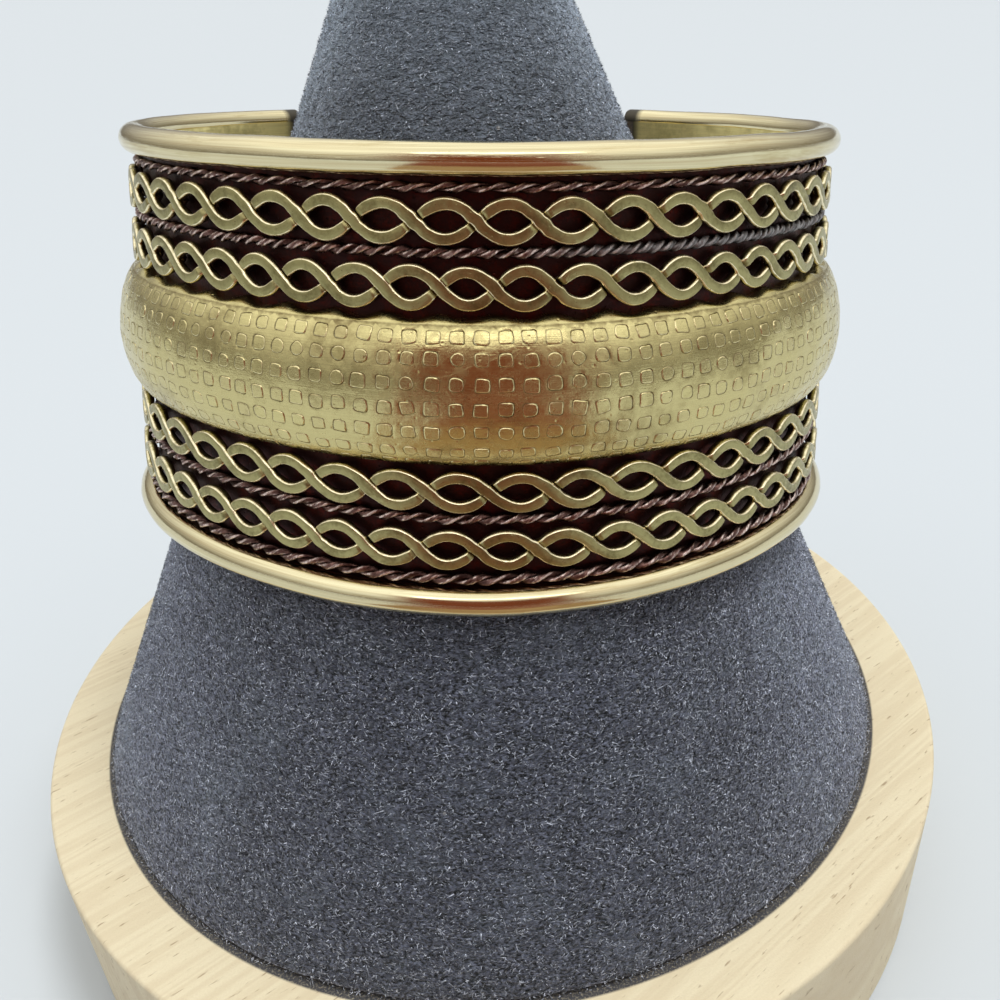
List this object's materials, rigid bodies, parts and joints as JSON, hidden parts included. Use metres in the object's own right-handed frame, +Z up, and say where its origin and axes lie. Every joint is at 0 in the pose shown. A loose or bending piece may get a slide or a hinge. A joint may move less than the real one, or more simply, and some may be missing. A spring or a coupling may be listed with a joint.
{
  "type": "cuff bracelet on a cone display stand",
  "caption": "Open brass cuff with a domed band, wire braids, twisted wires and round rims, resting on a suede covered cone stand with a round wooden foot.",
  "frame": {"origin": "middle of the wooden foot's underside", "axes": "+Z up along the stand, -Y towards the front of the cuff, opposite its open ends"},
  "size_m": [0.106, 0.106, 0.1103],
  "materials": {
    "brass": "polished rims, brass inside, dark patina on the outside of the sheet",
    "stamped_brass": "satin brass with stamped marks",
    "aged_brass": "tarnished flat faces with bright edges",
    "dark_copper": "dark oxidised copper",
    "grey_suede": "short slate grey nap",
    "pale_wood": "bare fine grained wood"
  },
  "bodies": {
    "root": {"cuff_wall": "brass", "dome_band": "stamped_brass", "braid_1_strand_a": "aged_brass", "braid_1_strand_b": "aged_brass", "braid_2_strand_a": "aged_brass", "braid_2_strand_b": "aged_brass", "braid_3_strand_a": "aged_brass", "braid_3_strand_b": "aged_brass", "braid_4_strand_a": "aged_brass", "braid_4_strand_b": "aged_brass", "twist_wire_1": "dark_copper", "twist_wire_2": "dark_copper", "twist_wire_3": "dark_copper", "twist_wire_4": "dark_copper", "stand_cone": "grey_suede", "stand_foot": "pale_wood"}
  },
  "joints": []
}
